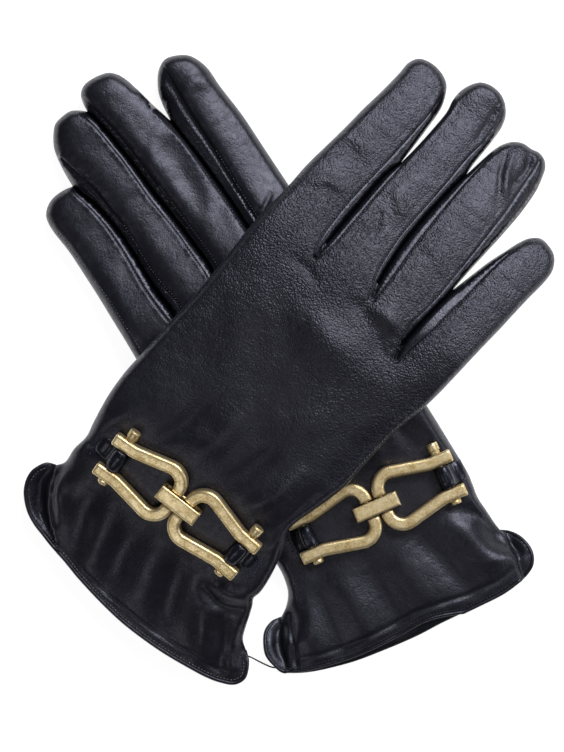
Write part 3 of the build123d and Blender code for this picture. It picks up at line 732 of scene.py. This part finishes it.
class Surface:
    """The back and palm surfaces of one glove, with heights at any place."""

    def __init__(self, name, glove):
        self.name, self.glove = name, glove
        self.verts, self.faces = draw_glove(glove)
        top, bottom, d_outline = back_heights(name, glove, self.verts, self.faces)
        on_hem = near_distance(self.verts, glove["curves"][-1]) < 0.01
        self.closed = (d_outline < 0.01) & ~on_hem
        level = 0.5 * (top + bottom)
        self.top = np.where(self.closed, level, top)
        self.bottom = np.where(self.closed, level, bottom)
        forks = [lines["valley"][0] for lines in glove["seams"]]
        d_fork = np.min([np.linalg.norm(self.verts - fork, axis=1) for fork in forks], axis=0)
        above_cuff = smoothstep((self.verts[:, 1] + 60.0) / 60.0)
        hand = above_cuff * (1 - smoothstep((self.verts[:, 1] - 60.0) / 60.0))
        fingers = smoothstep((self.verts[:, 1] - 40.0) / 20.0)
        if name == "left":
            self.grain = np.full(len(self.verts), 0.06)
        else:
            self.grain = np.clip(0.14 + 0.22 * hand + 0.3 * fingers + 0.65 * bell(d_fork, 28.0), 0, 1)
        self.tree = flat_tree(self.verts)

    def height(self, points, of_top=True):
        """Heights at some points, from their three nearest vertices."""
        values = self.top if of_top else self.bottom
        result = []
        for p in points:
            found = self.tree.find_n((p[0], p[1], 0), 3)
            weights = [1 / (d + 0.02) ** 2 for _, _, d in found]
            result.append(sum(w * values[i] for w, (_, i, _) in zip(weights, found)) / sum(weights))
        return np.array(result)

    def on_top(self, line, lift=0.0):
        """A flat line laid on the back, in the pair's frame."""
        line = np.array(line, float)
        return to_row(self.glove, np.column_stack([line, self.height(line) + lift]))


def glove_leather(surface, looks):
    """The trank, the fourchettes and the quirks at the forks."""
    name, glove = surface.name, surface.glove
    verts, faces, closed = surface.verts, surface.faces, surface.closed
    count = len(verts)
    centre = verts[faces].mean(1)
    region = strip_codes(glove, centre)
    for k, lines in enumerate(glove["seams"]):
        close = np.linalg.norm(centre - lines["valley"][0], axis=1) < QUIRK_LENGTH
        region[close & (region > 10 * (k + 1))] = 10 * (k + 1) + 3
    points = two_skins(glove, verts, surface.top, surface.bottom)
    lower = np.where(closed, np.arange(count), np.arange(count) + count)
    back = faces
    if "back_hem" in glove:
        back_hem = glove["back_hem_line"]
        edge = np.interp(centre[:, 0], back_hem[::-1, 0], back_hem[::-1, 1], -999.0, -999.0)
        keep = centre[:, 1] >= edge
        back, region = faces[keep], region[keep]
    top_faces = facing_up(glove, back)
    low_faces = facing_up(glove, lower[faces][:, ::-1])
    body = f"{name}_glove"
    trank = np.vstack([top_faces[region == 0], low_faces])
    grain = np.concatenate([surface.grain, surface.grain])
    mesh = mesh_from("trank", points, trank, grain)
    pieces = [new_object(f"{name}_trank_leather", mesh, body, looks["nappa"])]
    for code in sorted(set(region) - {0}):
        k, side = code // 10 - 1, code % 10
        label = {
            1: f"{name}_{FINGERS[k]}_side_to_{FINGERS[k + 1]}",
            2: f"{name}_{FINGERS[k + 1]}_side_to_{FINGERS[k]}",
            3: f"{name}_quirk_{FINGERS[k]}_{FINGERS[k + 1]}",
        }[side]
        strip = top_faces[region == code]
        mesh = mesh_from(label, points, strip, grain)
        pieces.append(new_object(label, mesh, body, looks["side"]))
    return pieces


def cuff_inside(surface, looks):
    """The facing and the lining that show in the cuff's mouth."""
    glove, name = surface.glove, surface.name
    verts, faces = surface.verts, surface.faces
    centre = verts[faces].mean(1)
    room = np.maximum(surface.top - surface.bottom, 0.0)
    inset = np.minimum(1.3, room * 0.42)
    count = len(verts)
    points = two_skins(glove, verts, surface.top - inset, surface.bottom + inset)
    facing_u, facing_v = zip(*FACING[name])
    line = np.interp(centre[:, 0], facing_u, facing_v)
    seen = centre[:, 1] < LINING_END
    parts = (
        ("cuff_facing", seen & (centre[:, 1] < line), "trim_leather", looks["trim"]),
        ("lining", seen & (centre[:, 1] >= line), "lining", looks["lining"]),
    )
    for label, chosen, slot_name, material in parts:
        low = facing_up(glove, faces[chosen]) + count
        high = facing_up(glove, faces[chosen][:, ::-1])
        full = f"{name}_{label}_cloth"
        mesh = mesh_from(full, points, np.vstack([high, low]))
        new_object(full, mesh, f"{name}_glove", material)


def round_curve(name, kind, line, radius, resolution):
    """A curve of round section along a line of points, all in metres."""
    curve = bpy.data.curves.new(name, "CURVE")
    curve.dimensions = "3D"
    curve.bevel_depth = radius
    curve.bevel_resolution = resolution
    spline = curve.splines.new(kind)
    spline.points.add(len(line) - 1)
    for point, place in zip(spline.points, line):
        point.co = (*place, 1)
    return curve, spline


def tube(name, line, radius, body, material):
    """A rolled edge along a line of points in metres, tapering at its two ends."""
    curve, spline = round_curve(name, "POLY", line, radius * MM, 2)
    for i, point in enumerate(spline.points):
        point.radius = min(1.0, 0.35 + 0.15 * min(i, len(line) - 1 - i))
    new_object(name, curve, body, material)


def stitches(name, lines, stitch, body, material, across=0.0):
    """A row of short stitches along lines of points in metres, each a small spindle of thread."""
    pitch, length, radius = stitch
    points, faces = [], []
    for line in lines:
        line = np.array(line)
        gone = distance_along(line) / MM
        for at in np.arange(pitch, gone[-1] - pitch / 2, pitch):
            place = np.array([np.interp(at, gone, line[:, k]) for k in range(3)])
            ahead = np.array([np.interp(at + 0.4, gone, line[:, k]) for k in range(3)])
            along = (ahead - place) / (np.linalg.norm(ahead - place) + 1e-12)
            side = np.cross((0, 0, 1), along)
            side /= np.linalg.norm(side) + 1e-12
            if across:
                along = along * cos(across) + side * sin(across)
                side = np.cross((0, 0, 1), along)
            up = np.cross(along, side)
            first = len(points)
            for t, wide in ((-0.5, 0.35), (-0.25, 0.95), (0.0, 1.1), (0.25, 0.95), (0.5, 0.35)):
                middle = place + along * t * length * MM - up * (abs(t) * 2) ** 2 * radius * 1.2 * MM
                for k in range(6):
                    a = k * pi / 3
                    points.append(middle + (side * cos(a) + up * sin(a)) * radius * wide * MM)
            for ring in range(4):
                for k in range(6):
                    a, b = first + ring * 6 + k, first + ring * 6 + (k + 1) % 6
                    faces.append((a, b, b + 6, a + 6))
            faces.append(tuple(first + k for k in reversed(range(6))))
            faces.append(tuple(first + 24 + k for k in range(6)))
    new_object(name, mesh_from(name, points, faces), body, material)


def rounded_rim(glove, surface):
    """The back's and the palm's open edges, closing towards each other at their two ends."""
    palm_hem = glove["curves"][-1]
    back_hem = palm_hem
    if "back_hem" in glove:
        joined = glove["back_hem_line"]
        before = palm_hem[:int(np.argmin(np.linalg.norm(palm_hem - joined[0], axis=1)))]
        after = palm_hem[int(np.argmin(np.linalg.norm(palm_hem - joined[-1], axis=1))) + 1:]
        back_hem = np.vstack([before, joined, after])
    back = np.column_stack([back_hem, surface.height(back_hem) - 0.35])
    palm = np.column_stack([palm_hem, surface.height(palm_hem, False) + 0.55])
    for hem in (back, palm):
        gone = distance_along(hem)
        share = smoothstep(np.minimum(gone, gone[-1] - gone) / 6.0)
        middle = 0.5 * (surface.height(hem[:, :2]) + surface.height(hem[:, :2], False))
        hem[:, 2] = share * hem[:, 2] + (1 - share) * middle
    return back, palm


def hem_trim(surface, looks):
    """The rolled edge round the cuff's mouth and its row of stitches."""
    glove, name = surface.glove, surface.name
    body = f"{name}_glove"
    back, palm = rounded_rim(glove, surface)
    tube(f"{name}_binding_back", to_row(glove, back), RIM_RADIUS, body, looks["trim"])
    tube(f"{name}_binding_palm", to_row(glove, palm), RIM_RADIUS, body, looks["trim"])
    row = offset_line(back[:, :2], -1.25)[4:-4]
    stitches(f"{name}_hem_stitches", [surface.on_top(row, 0.06)], HEM_STITCH, body, looks[HEM_THREAD[name]])
    if "back_hem" in glove:
        shown = palm[(palm[:, 0] < 52.0) & (palm[:, 0] > -9.0)][:, :2]
        row = offset_line(shown, -1.1)
        laid = np.column_stack([row, surface.height(row, False) + 1.6])
        stitches(f"{name}_palm_hem_stitches", [to_row(glove, laid)], HEM_STITCH, body, looks["grey_thread"])


def seam_stitches(surface, looks):
    """The small stitches that show where fourchette and back meet, and down the little finger's side."""
    name, glove = surface.name, surface.glove
    lines = []
    for seam in glove["seams"]:
        for side, sign in (("near", 1), ("far", -1)):
            line = seam[side]
            shown = line[line[:, 1] < line[0][1] + SEAM_STITCH_REACH]
            lines.append(surface.on_top(offset_line(shown, 0.42 * sign)[2:], 0.02))
    body = f"{name}_glove"
    stitches(f"{name}_finger_seam_stitches", lines, FINGER_STITCH, body, looks["grey_thread"], 0.5)
    side = smooth_through(SIDE_SEAM[name], 1.0)
    row = surface.on_top(side, 0.02)
    stitches(f"{name}_side_seam_stitches", [row], SIDE_STITCH, body, looks["grey_thread"])


# ================================================================ the tabs that hold the chain
def tab_frame(glove_name, side):
    """The pin's middle, the direction outwards along the chain, along the pin, and up."""
    joint = f"{glove_name}_chain_lift" if side == "index" else f"{glove_name}_little_lift"
    record = next(j for j in frame["record"]["behaviour"]["joints"] if j["name"] == joint)
    pin, axis = np.array(record["pos_m"]), np.array(record["axis"])
    mesh = frame["nodes"][f"{glove_name}_stirrup_{side}"].data
    middle = np.array([vertex.co for vertex in mesh.vertices]).mean(0)
    outward = pin - middle
    outward -= (outward @ axis) * axis
    outward /= np.linalg.norm(outward)
    up = np.cross(outward, axis)
    if up[2] < 0:
        up, axis = -up, -axis
    return pin, outward, axis, up


def tab_strap(surface, side, looks):
    """A leather strap that comes up through the cuff, round the pin and down again, and its stitches."""
    name = surface.name
    pin, outward, axis, up = tab_frame(name, side)
    turn = [radians(a) for a in range(200, -61, -20)]
    profile = [(-2.5, -4.9), (-2.5, -3.0), (-2.45, -1.2)]
    profile += [(STRAP_RADIUS * cos(a), STRAP_RADIUS * sin(a)) for a in turn[1:]]
    profile += [(2.5, -2.4), (3.5, -3.5), (4.8, -3.95)]
    reach = STRAP_REACH[name][side]
    profile += [(0.6 * reach + 1.9, -4.1), (reach, -4.5), (reach + 1.2, -5.8)]
    profile = smooth_through(profile, 0.5)
    points, faces = [], []
    across = np.linspace(-1, 1, 15)
    for i, (s, h) in enumerate(profile):
        width = STRAP_HALF_WIDTH * (1 + 0.025 * sin(i * 0.9) - 0.16 * smoothstep((s - 5.0) / 4.0))
        for w in across:
            edge = -0.75 * abs(w) ** 4
            crease = noise.noise(Vector((s * 0.9, w * 1.1, 4.0 if side == "index" else 9.0)))
            lift = edge + 0.14 * crease + 0.05 * noise.noise(Vector((s * 2.2, w * 3.0, 2.0)))
            away = Vector((s, h)).normalized() if s < 2.6 and h > -2.6 else Vector((0, 1))
            point = pin + (outward * (s + away[0] * lift) + up * (h + away[1] * lift)) * MM
            points.append(point + axis * w * width * MM)
    rows, columns = len(profile), len(across)
    for i in range(rows - 1):
        for j in range(columns - 1):
            a = i * columns + j
            faces.append((a, a + 1, a + columns + 1, a + columns))
    label = f"{name}_tab_{side}_strap"
    mesh = mesh_from(label, points, faces)
    strap = new_object(label, mesh, f"{name}_glove", looks["strap"])
    solid = strap.modifiers.new("thickness", "SOLIDIFY")
    solid.thickness = STRAP_THICKNESS * MM
    solid.offset = -1
    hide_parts(f"{name}_tab_{side}")
    rows = []
    for s in (reach, reach + 2.4):
        rows.append([pin + (outward * s + axis * w) * MM for w in np.arange(-4.4, 4.5, 0.4)])
    for w in (-4.4, 4.4):
        rows.append([pin + (outward * s + axis * w) * MM for s in np.arange(reach, reach + 2.5, 0.4)])
    rows = [lay_on_back(surface, row, 0.05) for row in rows]
    rows = [row for row in rows if len(row) > 2]
    stitches(f"{name}_tab_{side}_stitches", rows, TAB_STITCH, f"{name}_glove", looks["navy_thread"], 0.25)


def lay_on_back(surface, line, lift):
    """Points in the pair's frame, dropped on to the glove's back."""
    glove = surface.glove
    flat = np.array(line)[:, :2] / MM - CROSSING
    c, s = cos(glove["turn"]), sin(glove["turn"])
    u = c * flat[:, 0] + s * flat[:, 1]
    v = -s * flat[:, 0] + c * flat[:, 1]
    own = np.column_stack([-u if glove["mirrored"] else u, v])
    own = own[inside(own, glove["outline"])]
    own = own[near_distance(own, glove["outline"]) > 1.4]
    return surface.on_top(own, lift) if len(own) else own


# ================================================================ the thread between the cuffs
def tacking_thread(looks):
    """The thread that tacks the cuffs together, from inside the lower cuff to under the upper one."""
    curve, spline = round_curve("thread", "NURBS", THREAD_ROUTE, THREAD_DIAMETER / 2, 3)
    spline.order_u = 3
    spline.use_endpoint_u = True
    spline.resolution_u = 12
    thread = new_object("tacking_thread", curve, "left_glove", looks["waxed_thread"])
    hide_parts("pair_thread")


def thumb_leather(surface, looks):
    """The thumb, flattened under the palm."""
    name, glove = surface.name, surface.glove
    base = THUMB_BASE[name]
    outline = smooth_through(THUMB, THUMB_CELL)[:-1]
    us, vs = (np.arange(low, high, THUMB_CELL) for low, high in zip(outline.min(0), outline.max(0)))
    grid = np.array([(u, v) for v in vs for u in us])
    grid = grid[inside(grid, outline)]
    grid = grid[near_distance(grid, outline) > 1.0]
    flat = np.vstack([outline, grid])
    loop = [(i, (i + 1) % len(outline)) for i in range(len(outline))]
    verts, faces = triangulate(flat, loop, outline)
    reach = near_distance(verts, outline)
    rise = quarter_round(reach / 4.5)
    wave = blend_noise(verts, 8.0, 21.0) * 0.35 * smoothstep(reach / 4.0)
    middle = base + 2.7
    top = middle + 2.6 * rise
    bottom = middle - 2.65 * rise + np.maximum(wave, 0)
    count = len(verts)
    closed = reach < 0.01
    lower = np.where(closed, np.arange(count), np.arange(count) + count)
    points = two_skins(glove, verts, top, bottom)
    skin = np.vstack([facing_up(glove, faces), facing_up(glove, lower[faces][:, ::-1])])
    label = f"{name}_thumb_leather"
    new_object(label, mesh_from(label, points, skin), f"{name}_glove", looks["nappa"])


# ================================================================ materials
def principled(name, color, roughness, specular=0.5, metallic=0.0):
    material = bpy.data.materials.new(name)
    material.use_nodes = True
    shader = material.node_tree.nodes["Principled BSDF"]
    shader.inputs["Base Color"].default_value = (*color, 1)
    shader.inputs["Roughness"].default_value = roughness
    shader.inputs["Specular IOR Level"].default_value = specular
    shader.inputs["Metallic"].default_value = metallic
    return material, material.node_tree, shader


def add_node(tree, kind, **values):
    """A node with some of its inputs or settings changed. Spaces in input names are written as _."""
    node = tree.nodes.new(kind)
    for key, value in values.items():
        socket = key.replace("_", " ")
        if socket in node.inputs:
            node.inputs[socket].default_value = value
        else:
            setattr(node, key, value)
    return node


def remap(tree, source, low, high, from_low=0.3, from_high=0.7):
    """Stretches a noise value to a range."""
    limits = {"From_Min": from_low, "From_Max": from_high, "To_Min": low, "To_Max": high}
    node = add_node(tree, "ShaderNodeMapRange", **limits)
    tree.links.new(source, node.inputs["Value"])
    return node.outputs["Result"]


def calculate(tree, operation, *values, clamp=False):
    """A product or sum of numbers and of other nodes' outputs."""
    node = add_node(tree, "ShaderNodeMath", operation=operation, use_clamp=clamp)
    for socket, value in zip(node.inputs, values):
        if isinstance(value, float):
            socket.default_value = value
        else:
            tree.links.new(value, socket)
    return node.outputs["Value"]


def on_object(tree, *textures):
    """Lays textures in the object's own coordinates."""
    at = add_node(tree, "ShaderNodeTexCoord").outputs["Object"]
    for texture in textures:
        tree.links.new(at, texture.inputs["Vector"])


def add_bump(tree, height, distance, strength, below=None):
    """One more layer of relief. strength is a number or another node's output."""
    bump = add_node(tree, "ShaderNodeBump", Distance=distance)
    tree.links.new(height, bump.inputs["Height"])
    if isinstance(strength, float):
        bump.inputs["Strength"].default_value = strength
    else:
        tree.links.new(strength, bump.inputs["Strength"])
    if below is not None:
        tree.links.new(below, bump.inputs["Normal"])
    return bump.outputs["Normal"]


def color_ramp(tree, source, stops):
    """Turns a value into a colour by (place, colour) stops."""
    node = add_node(tree, "ShaderNodeValToRGB")
    ramp = node.color_ramp.elements
    while len(ramp) < len(stops):
        ramp.new(0.5)
    for element, (place, color) in zip(ramp, stops):
        element.position = place
        element.color = (*color, 1)
    tree.links.new(source, node.inputs["Fac"])
    return node.outputs["Color"]


def leather(name, dark, light, roughness, grain, specular=0.5, sheen=0.0):
    """Dyed nappa: pebble grain with fine pores, and dye and polish that vary a little from place to place."""
    material, tree, shader = principled(name, dark, roughness, specular)
    pebble = add_node(tree, "ShaderNodeTexVoronoi", Scale=PEBBLE_SCALE, Randomness=1.0)
    coarse = add_node(tree, "ShaderNodeTexVoronoi", Scale=PEBBLE_SCALE * 0.72, Randomness=1.0)
    pores = add_node(tree, "ShaderNodeTexNoise", Scale=4200.0, Detail=2.0)
    creases = add_node(tree, "ShaderNodeTexNoise", Scale=420.0, Detail=4.0, Roughness=0.6, Distortion=0.8)
    patches = add_node(tree, "ShaderNodeTexNoise", Scale=38.0, Detail=3.0, Roughness=0.55)
    on_object(tree, pebble, coarse, pores, creases, patches)
    where = add_node(tree, "ShaderNodeAttribute", attribute_name="grain").outputs["Fac"]
    patchy = remap(tree, patches.outputs["Fac"], 0.45, 1.15)
    share = calculate(tree, "MULTIPLY_ADD", where, 0.92 * grain, 0.08 * grain)
    strength = calculate(tree, "MULTIPLY", share, patchy, clamp=True)
    relief = add_bump(tree, pores.outputs["Fac"], 0.00003, 0.4)
    relief = add_bump(tree, pebble.outputs["Distance"], -0.00032, strength, relief)
    relief = add_bump(tree, coarse.outputs["Distance"], -0.00036, strength, relief)
    relief = add_bump(tree, creases.outputs["Fac"], 0.00060, 0.24, relief)
    tree.links.new(relief, shader.inputs["Normal"])
    color = color_ramp(tree, patches.outputs["Fac"], [(0.35, dark), (0.68, light)])
    tree.links.new(color, shader.inputs["Base Color"])
    polish = remap(tree, creases.outputs["Fac"], roughness - 0.06, roughness + 0.08)
    tree.links.new(polish, shader.inputs["Roughness"])
    shader.inputs["Specular Tint"].default_value = (0.84, 0.85, 1.0, 1)
    shader.inputs["Sheen Weight"].default_value = sheen
    shader.inputs["Sheen Roughness"].default_value = 0.35
    shader.inputs["Sheen Tint"].default_value = (0.55, 0.66, 1.0, 1)
    return material


def antique_brass():
    """Brass mottled from brown to pale by coarse and fine noise, shaded as if its edges were rounded."""
    material, tree, shader = principled("antique_brass", (0.76, 0.60, 0.36), 0.42, 0.5, 0.9)
    blotches = add_node(tree, "ShaderNodeTexNoise", Scale=260.0, Detail=7.0, Roughness=0.72)
    specks = add_node(tree, "ShaderNodeTexNoise", Scale=1700.0, Detail=4.0, Roughness=0.65)
    on_object(tree, blotches, specks)
    half = calculate(tree, "MULTIPLY", blotches.outputs["Fac"], 0.5)
    tone = calculate(tree, "MULTIPLY_ADD", specks.outputs["Fac"], 0.5, half)
    stops = [(0.32, (0.34, 0.22, 0.08)), (0.42, (0.62, 0.46, 0.21)), (0.52, (0.80, 0.65, 0.36)),
             (0.64, (0.90, 0.78, 0.52))]
    tree.links.new(color_ramp(tree, tone, stops), shader.inputs["Base Color"])
    tree.links.new(remap(tree, tone, 0.46, 0.32, 0.38, 0.6), shader.inputs["Roughness"])
    rounded = add_node(tree, "ShaderNodeBevel", Radius=BRASS_ROUNDING, samples=8)
    relief = add_bump(tree, specks.outputs["Fac"], 0.00004, 0.35, rounded.outputs["Normal"])
    tree.links.new(relief, shader.inputs["Normal"])
    return material


def knit(name, color):
    """A fine knit: rows of small loops, painted darker where they sink, as shade between them."""
    material, tree, shader = principled(name, color, 0.85, 0.2)
    across = add_node(tree, "ShaderNodeTexWave", Scale=420.0, Distortion=1.2, bands_direction="X")
    along = add_node(tree, "ShaderNodeTexWave", Scale=300.0, Distortion=1.6, bands_direction="Y")
    on_object(tree, across, along)
    loops = calculate(tree, "MULTIPLY", across.outputs["Fac"], along.outputs["Fac"])
    tree.links.new(add_bump(tree, loops, 0.0003, 0.8), shader.inputs["Normal"])
    painted_loop_shade = tuple(0.4 * c for c in color)
    # painted shade: the colour follows the loops' relief, down to 0.4 of the yarn's colour where they sink
    tree.links.new(color_ramp(tree, loops, [(0.0, painted_loop_shade), (0.8, color)]), shader.inputs["Base Color"])
    shader.inputs["Sheen Weight"].default_value = 0.3
    return material


def thread_look(name, dark, light):
    """Twisted thread, painted lighter on the crowns of its turns as a highlight and darker between them as
    shade.
    """
    material, tree, shader = principled(name, light, 0.55, 0.35)
    twist = add_node(tree, "ShaderNodeTexWave", Scale=1100.0, Distortion=2.0, bands_direction="DIAGONAL")
    on_object(tree, twist)
    turns = twist.outputs["Fac"]
    # painted highlight and shade: the colour follows the twist's relief, light on the crowns and dark in the
    # grooves
    tree.links.new(color_ramp(tree, turns, [(0.1, dark), (0.7, light)]), shader.inputs["Base Color"])
    tree.links.new(add_bump(tree, turns, 0.00008, 0.6), shader.inputs["Normal"])
    return material


# ================================================================ stage
def make_stage():
    """A white floor that glows a little, as the photo's plain ground."""
    mesh = bpy.data.meshes.new("floor")
    size = FLOOR_HALF
    corners = [(-size, -size, 0), (size, -size, 0), (size, size, 0), (-size, size, 0)]
    mesh.from_pydata(corners, [], [(0, 1, 2, 3)])
    floor = bpy.data.objects.new("floor", mesh)
    floor.location.z = FLOOR_LEVEL
    bpy.context.scene.collection.objects.link(floor)
    material, _, shader = principled("floor", (0.4, 0.4, 0.4), 0.9, 0.0)
    shader.inputs["Emission Color"].default_value = (1, 1, 1, 1)
    shader.inputs["Emission Strength"].default_value = FLOOR_GLOW
    mesh.materials.append(material)


def area_light(name, at, size, power, color):
    """A rectangular light that faces the origin."""
    light = bpy.data.lights.new(name, "AREA")
    light.shape = "RECTANGLE"
    light.size, light.size_y = size
    light.energy = power
    light.color = color
    lamp = bpy.data.objects.new(name, light)
    lamp.location = at
    lamp.rotation_euler = (-Vector(at)).to_track_quat("-Z", "Y").to_euler()
    bpy.context.scene.collection.objects.link(lamp)


def make_lights():
    """The softboxes and a faint light from all round."""
    world = bpy.data.worlds.new("studio")
    world.use_nodes = True
    world.node_tree.nodes["Background"].inputs["Color"].default_value = WORLD_COLOR
    world.node_tree.nodes["Background"].inputs["Strength"].default_value = WORLD_STRENGTH
    bpy.context.scene.world = world
    for light in LIGHTS:
        area_light(*light)


def make_camera():
    """Straight above the gloves' crossing, framed as the photo is."""
    camera = bpy.data.cameras.new("camera")
    view = bpy.data.objects.new("camera", camera)
    view.location = (CROSSING[0] * MM, CROSSING[1] * MM, CAMERA_HEIGHT)
    bpy.context.scene.collection.objects.link(view)
    bpy.context.scene.camera = view
    bpy.context.scene.view_settings.view_transform = "Standard"
    camera.sensor_fit = "VERTICAL"
    camera.sensor_height = 24.0
    seen = PHOTO_SIZE[1] / PHOTO_SCALE * MM
    camera.lens = camera.sensor_height * (CAMERA_HEIGHT - FOCUS_HEIGHT) / seen
    camera.dof.use_dof = False


# ================================================================ the whole picture
make_camera()
looks = {
    "nappa": leather("nappa", (0.0038, 0.0037, 0.0060), (0.0066, 0.0064, 0.0110), 0.36, 0.70, 0.54, 0.04),
    "side": leather("side_nappa", (0.0036, 0.0037, 0.0060), (0.0060, 0.0062, 0.0092), 0.27, 0.12),
    "trim": leather("trim_nappa", (0.0036, 0.0037, 0.0060), (0.0062, 0.0064, 0.0098), 0.34, 0.15),
    "strap": leather("strap_nappa", (0.0036, 0.0042, 0.0075), (0.0055, 0.0065, 0.0110), 0.26, 0.3),
    "lining": knit("lining_knit", (0.02, 0.02, 0.024)),
    "brass": antique_brass(),
    "pale_thread": thread_look("pale_thread", (0.05, 0.05, 0.055), (0.22, 0.20, 0.20)),
    "grey_thread": thread_look("grey_thread", (0.03, 0.034, 0.042), (0.17, 0.18, 0.21)),
    "dim_thread": thread_look("dim_thread", (0.012, 0.013, 0.018), (0.055, 0.058, 0.075)),
    "navy_thread": thread_look("navy_thread", (0.006, 0.010, 0.035), (0.022, 0.034, 0.120)),
    "waxed_thread": thread_look("waxed_thread", (0.01, 0.011, 0.014), (0.03, 0.033, 0.04)),
}
tacking_thread(looks)
for name, glove in GLOVES.items():
    surface = Surface(name, glove)
    pieces = glove_leather(surface, looks)
    cuff_inside(surface, looks)
    hem_trim(surface, looks)
    seam_stitches(surface, looks)
    thumb_leather(surface, looks)
    for side in ("index", "little"):
        tab_strap(surface, side, looks)
    soft = ("trank", "fourchette", "quirk", "thumb", "lining", "cuff", "elastic")
    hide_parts(*[n for n in frame["nodes"] if n.startswith(name) and any(w in n for w in soft)])
for node, piece in frame["nodes"].items():
    if any(word in node for word in ("stirrup", "pin_", "link")):
        piece.data.materials.clear()
        piece.data.materials.append(looks["brass"])
make_stage()
make_lights()
